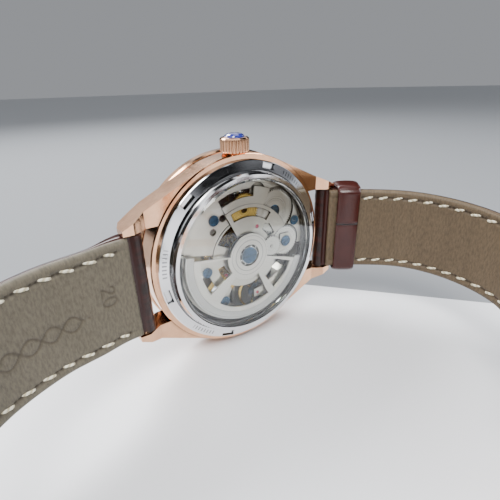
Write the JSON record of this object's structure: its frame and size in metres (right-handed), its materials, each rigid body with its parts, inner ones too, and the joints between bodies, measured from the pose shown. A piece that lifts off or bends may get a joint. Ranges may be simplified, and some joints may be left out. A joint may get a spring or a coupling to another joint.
{
  "type": "mechanical wristwatch",
  "caption": "Automatic wristwatch with a glazed back, skeleton rotor movement, fluted crown and a two-piece stitched leather strap with a pin buckle.",
  "frame": {"origin": "on the movement's axis, in the plane of the case-back ring's rim", "axes": "+Z along the winding stem towards the crown (up as it stands), +Y out of the dial, +X towards the 12 o'clock lugs"},
  "size_m": [0.1029, 0.0898, 0.0456],
  "materials": {
    "rose_gold": "polished rose-gold plating",
    "steel": "polished stainless steel",
    "sapphire": "clear polished crystal",
    "seal": "matt nitrile",
    "blue_cabochon": "polished blue glass cabochon",
    "nickel": "fine-grained nickel plating",
    "rotor_metal": "fine-grained nickel plating",
    "tungsten": "brushed heavy metal",
    "blued_steel": "heat-blued steel",
    "ruby": "polished synthetic ruby",
    "gilt_brass": "gilt brass",
    "dial_silver": "silvered, satin",
    "strap_leather": "glossy crocodile-embossed calf with a taupe lining",
    "keeper_leather": "glossy embossed calf"
  },
  "bodies": {
    "root": {"case_middle": "rose_gold", "bezel": "rose_gold", "crystal": "sapphire", "sealing_rings": "seal", "caseback_ring": "steel", "caseback_glass": "sapphire", "crown_tube": "rose_gold", "movement_ring": "steel", "dial": "dial_silver", "hour_markers": "rose_gold", "main_plate": "nickel", "barrel_bridge": "nickel", "train_bridge": "nickel", "balance_cock": "nickel", "automatic_bridge": "nickel", "bridge_screws": "blued_steel", "jewels": "ruby", "rotor_bearing": "steel", "rotor_screw": "blued_steel", "hairspring": "blued_steel", "lug_spring_bars": "steel"},
    "winding_pinion": {"winding_pinion": "steel"},
    "crown": {"crown": "rose_gold", "crown_cabochon": "blue_cabochon", "winding_stem": "steel"},
    "sliding_pinion": {"sliding_pinion": "steel"},
    "setting_lever": {"setting_lever": "steel"},
    "yoke": {"yoke": "steel"},
    "click": {"click": "steel"},
    "crown_wheel": {"crown_wheel": "gilt_brass"},
    "ratchet": {"ratchet_wheel": "nickel", "ratchet_screw": "blued_steel", "barrel_arbor": "steel"},
    "driving_wheel": {"driving_wheel": "nickel"},
    "reverser_pinion": {"reverser_pinion": "nickel"},
    "rotor": {"rotor_plate": "rotor_metal", "rotor_weight": "tungsten"},
    "bearing_balls": {"bearing_balls": "steel"},
    "reverser_wheel": {"reverser_wheel": "nickel"},
    "barrel": {"barrel_drum": "gilt_brass", "mainspring": "steel"},
    "intermediate": {"intermediate_wheel": "gilt_brass"},
    "centre": {"centre_wheel": "gilt_brass", "cannon_pinion": "steel", "minute_hand": "blued_steel"},
    "third": {"third_wheel": "gilt_brass"},
    "fourth": {"fourth_wheel": "gilt_brass", "seconds_hand": "blued_steel"},
    "escape": {"escape_wheel": "steel"},
    "pallet_fork": {"pallet_fork": "steel"},
    "balance": {"balance_wheel": "gilt_brass"},
    "minute_wheel": {"minute_wheel": "gilt_brass"},
    "hour": {"hour_wheel": "gilt_brass", "hour_hand": "blued_steel"},
    "strap_long": {"strap_long": "strap_leather"},
    "strap_short": {"strap_short": "strap_leather", "buckle_spring_bar": "steel"},
    "floating_keeper": {"floating_keeper": "keeper_leather"},
    "buckle_frame": {"buckle_frame": "rose_gold"},
    "buckle_tongue": {"buckle_tongue": "rose_gold"}
  },
  "joints": [
    {"name": "crown_turn", "type": "hinge", "parent": "root", "child": "winding_pinion", "pos_m": [0, 0.00305, 0.02], "axis": [0, 0, 1], "continuous": true},
    {"name": "crown_pull", "type": "slide", "parent": "winding_pinion", "child": "crown", "axis": [0, 0, 1], "range_m": [0, 0.0012]},
    {"name": "clutch_slide", "type": "slide", "parent": "winding_pinion", "child": "sliding_pinion", "axis": [0, 0, 1], "range_m": [-0.0006, 0]},
    {"name": "setting_lever_turn", "type": "hinge", "parent": "root", "child": "setting_lever", "pos_m": [0.0024, 0, 0.0146], "axis": [0, -1, 0], "range_deg": [-30, 0]},
    {"name": "yoke_turn", "type": "hinge", "parent": "root", "child": "yoke", "pos_m": [-0.00385, 0, 0.00945], "axis": [0, -1, 0], "range_deg": [-12, 0]},
    {"name": "click_turn", "type": "hinge", "parent": "root", "child": "click", "pos_m": [0.0027, 0, 0.01335], "axis": [0, -1, 0], "range_deg": [0, 14]},
    {"name": "crown_wheel_turn", "type": "hinge", "parent": "root", "child": "crown_wheel", "pos_m": [-0.00025, 0, 0.00972], "axis": [0, -1, 0], "continuous": true},
    {"name": "ratchet_turn", "type": "hinge", "parent": "root", "child": "ratchet", "pos_m": [0.00735, 0, 0.00785], "axis": [0, -1, 0], "continuous": true},
    {"name": "driving_wheel_turn", "type": "hinge", "parent": "root", "child": "driving_wheel", "pos_m": [0.01029, 0, 0.00043], "axis": [0, -1, 0], "continuous": true},
    {"name": "reverser_pinion_turn", "type": "hinge", "parent": "root", "child": "reverser_pinion", "pos_m": [0.00618, 0, 0.00028], "axis": [0, -1, 0], "continuous": true},
    {"name": "rotor_turn", "type": "hinge", "parent": "root", "child": "rotor", "pos_m": [0, 0, 0], "axis": [0, -1, 0], "continuous": true},
    {"name": "ball_orbit", "type": "hinge", "parent": "root", "child": "bearing_balls", "pos_m": [0, 0, 0], "axis": [0, -1, 0], "continuous": true},
    {"name": "reverser_wheel_turn", "type": "hinge", "parent": "root", "child": "reverser_wheel", "pos_m": [0.00618, 0, 0.00028], "axis": [0, -1, 0], "continuous": true},
    {"name": "seconds_turn", "type": "hinge", "parent": "root", "child": "fourth", "pos_m": [0, 0, 0], "axis": [0, -1, 0], "continuous": true},
    {"name": "minute_turn", "type": "hinge", "parent": "root", "child": "centre", "pos_m": [0, 0, 0], "axis": [0, -1, 0], "continuous": true},
    {"name": "third_turn", "type": "hinge", "parent": "root", "child": "third", "pos_m": [-0.0051, 0, -0.0037], "axis": [0, -1, 0], "continuous": true},
    {"name": "escape_turn", "type": "hinge", "parent": "root", "child": "escape", "pos_m": [0.00392, 0, -0.00467], "axis": [0, -1, 0], "continuous": true},
    {"name": "intermediate_turn", "type": "hinge", "parent": "root", "child": "intermediate", "pos_m": [0.0026, 0, 0.0056], "axis": [0, -1, 0], "continuous": true},
    {"name": "barrel_turn", "type": "hinge", "parent": "root", "child": "barrel", "pos_m": [0.00735, 0, 0.00785], "axis": [0, -1, 0], "continuous": true},
    {"name": "minute_wheel_turn", "type": "hinge", "parent": "root", "child": "minute_wheel", "pos_m": [-0.0024, 0, 0], "axis": [0, -1, 0], "continuous": true},
    {"name": "hour_turn", "type": "hinge", "parent": "root", "child": "hour", "pos_m": [0, 0, 0], "axis": [0, -1, 0], "continuous": true},
    {"name": "pallet_rock", "type": "hinge", "parent": "root", "child": "pallet_fork", "pos_m": [0.00332, 0, -0.00702], "axis": [0, -1, 0], "range_deg": [-6, 6]},
    {"name": "balance_swing", "type": "hinge", "parent": "root", "child": "balance", "pos_m": [0.00249, 0, -0.01021], "axis": [0, -1, 0], "range_deg": [-270, 270], "stiffness_Nm_per_rad": 0.0000001},
    {"name": "strap_long_swing", "type": "hinge", "parent": "root", "child": "strap_long", "pos_m": [-0.0232, 0.0012, 0], "axis": [0, 0, 1], "range_deg": [-50, 10]},
    {"name": "strap_short_swing", "type": "hinge", "parent": "root", "child": "strap_short", "pos_m": [0.0232, 0.0012, 0], "axis": [0, 0, 1], "range_deg": [-10, 50]},
    {"name": "keeper_slide", "type": "slide", "parent": "strap_short", "child": "floating_keeper", "axis": [0.6489, -0.7608, 0], "range_m": [0, 0.004]},
    {"name": "buckle_swing", "type": "hinge", "parent": "strap_short", "child": "buckle_frame", "pos_m": [0.0194, -0.0566, -0.0096], "axis": [0, 0, 1], "range_deg": [-60, 0]},
    {"name": "tongue_swing", "type": "hinge", "parent": "strap_short", "child": "buckle_tongue", "pos_m": [0.0194, -0.0566, -0.0096], "axis": [0, 0, 1], "range_deg": [0, 70]}
  ],
  "couplings": [
    {"joint": "clutch_slide", "follows": "crown_pull", "ratio": -0.5},
    {"joint": "setting_lever_turn", "follows": "crown_pull", "rad_per_m": -416.67},
    {"joint": "yoke_turn", "follows": "crown_pull", "rad_per_m": -147.06},
    {"joint": "crown_wheel_turn", "follows": "crown_turn", "ratio": -0.53333},
    {"joint": "ratchet_turn", "follows": "crown_turn", "ratio": 0.36444},
    {"joint": "driving_wheel_turn", "follows": "crown_turn", "ratio": -0.50853},
    {"joint": "reverser_pinion_turn", "follows": "crown_turn", "ratio": 2.1867},
    {"joint": "ball_orbit", "follows": "rotor_turn", "ratio": 0.45238},
    {"joint": "reverser_wheel_turn", "follows": "rotor_turn", "ratio": -1.6875},
    {"joint": "minute_turn", "follows": "seconds_turn", "ratio": 0.016667},
    {"joint": "third_turn", "follows": "seconds_turn", "ratio": -0.13333},
    {"joint": "escape_turn", "follows": "seconds_turn", "ratio": -10},
    {"joint": "intermediate_turn", "follows": "seconds_turn", "ratio": -0.010897},
    {"joint": "barrel_turn", "follows": "seconds_turn", "ratio": 0.0020433},
    {"joint": "minute_wheel_turn", "follows": "seconds_turn", "ratio": -0.0055556},
    {"joint": "hour_turn", "follows": "seconds_turn", "ratio": 0.0013889}
  ]
}
